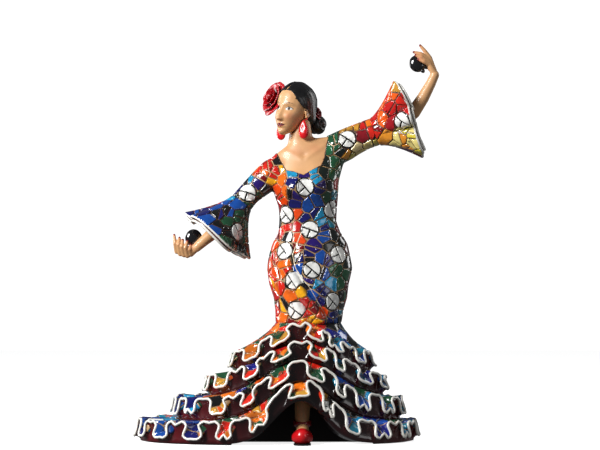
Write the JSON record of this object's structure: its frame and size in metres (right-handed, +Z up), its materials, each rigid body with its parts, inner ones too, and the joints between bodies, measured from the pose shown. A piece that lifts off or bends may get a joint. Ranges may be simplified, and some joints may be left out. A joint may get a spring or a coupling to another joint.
{
  "type": "souvenir dancer figurine",
  "caption": "Free-standing painted resin figurine of a flamenco dancer in a mosaic-tiled dress with bell sleeves, a frilled train and castanets.",
  "frame": {"origin": "on the table plane, on the underside of the felt, near the middle of the skirt's footprint", "axes": "+Z up along the figure's height, -Y towards the viewer and the lifted front hem, +X towards the figure's raised left arm"},
  "size_m": [0.2317, 0.1191, 0.3002],
  "materials": {
    "felt": "short dark felt",
    "frill_lining": "oxblood glossy enamel on cast resin",
    "mosaic": "hand-painted mosaic tiles under a thick clear gloss glaze",
    "skin": "satin skin-tone enamel on cast resin",
    "hair": "glossy black enamel on combed resin hair",
    "red_gloss": "glossy red enamel on cast resin",
    "black_gloss": "glossy black enamel on cast resin",
    "steel": "bare drawn steel, hidden inside"
  },
  "bodies": {
    "root": {"base_felt": "felt", "skirt_core": "frill_lining", "frill_top": "frill_lining", "frill_upper": "frill_lining", "frill_lower": "frill_lining", "frill_hem": "frill_lining", "skirt_body": "mosaic", "bodice": "mosaic", "bust": "skin", "head": "skin", "hair_cap": "hair", "hair_bun": "hair", "rose_large": "red_gloss", "rose_small": "red_gloss", "earring_right": "red_gloss", "earring_left": "red_gloss", "sleeve_right": "mosaic", "sleeve_left": "mosaic", "cuff_right": "mosaic", "cuff_left": "mosaic", "forearm_right": "skin", "forearm_left": "skin", "hand_right": "skin", "hand_left": "skin", "castanet_right_front": "black_gloss", "castanet_right_back": "black_gloss", "castanet_left_front": "black_gloss", "castanet_left_back": "black_gloss", "leg": "skin", "shoe": "red_gloss", "shoe_sole": "black_gloss", "shoe_strap": "red_gloss", "armature_rod": "steel", "neck_pin": "steel", "shoulder_pin_right": "steel", "shoulder_pin_left": "steel", "leg_pin": "steel"}
  },
  "joints": []
}
